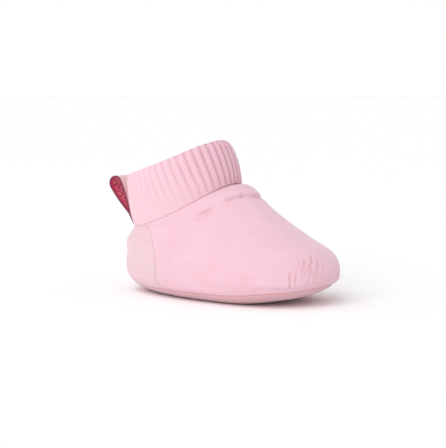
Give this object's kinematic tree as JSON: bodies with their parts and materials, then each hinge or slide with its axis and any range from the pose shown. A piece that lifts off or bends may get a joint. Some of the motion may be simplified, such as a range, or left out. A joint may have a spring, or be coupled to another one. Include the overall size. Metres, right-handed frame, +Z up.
{
  "type": "baby bootie",
  "caption": "Soft padded baby bootie with a ribbed knit cuff folded double, a padded sole with a slight toe spring, and a ribbon pull loop sewn at the back of the ankle.",
  "frame": {"origin": "centre of the flat patch that the sole rests on", "axes": "+X towards the toe, +Y to the wearer's left, +Z up from the sole"},
  "size_m": [0.1226, 0.0582, 0.0717],
  "materials": {
    "velour": "pale pink cotton velour, short soft nap",
    "sole_velour": "deeper pink velour on the underside",
    "rib_knit": "pink 1x1 rib knit, matt",
    "lining_jersey": "fine pink cotton jersey",
    "wadding": "white polyester wadding",
    "elastic": "white woven elastic",
    "seam_thread": "pink overlock thread",
    "satin_ribbon": "woven satin ribbon, crimson inside and peach pink outside",
    "tack_thread": "dense pink bar tack stitching"
  },
  "bodies": {
    "bootie": {"outsole": "sole_velour", "sole_padding": "wadding", "insole": "lining_jersey", "vamp": "velour", "heel_panel": "velour", "vamp_lining": "lining_jersey", "heel_lining": "lining_jersey", "rib_cuff": "rib_knit", "ankle_elastic": "elastic", "ankle_seam": "seam_thread", "sole_seam": "seam_thread", "heel_seam_left": "seam_thread", "heel_seam_right": "seam_thread", "loop_bartack": "tack_thread"},
    "pull_loop": {"pull_loop": "satin_ribbon"}
  },
  "joints": [
    {"name": "pull_loop_flex", "type": "hinge", "parent": "bootie", "child": "pull_loop", "pos_m": [-0.0431, 0, 0.0313], "axis": [0, 1, 0], "range_deg": [-100, 6], "stiffness_Nm_per_rad": 0.0005}
  ]
}
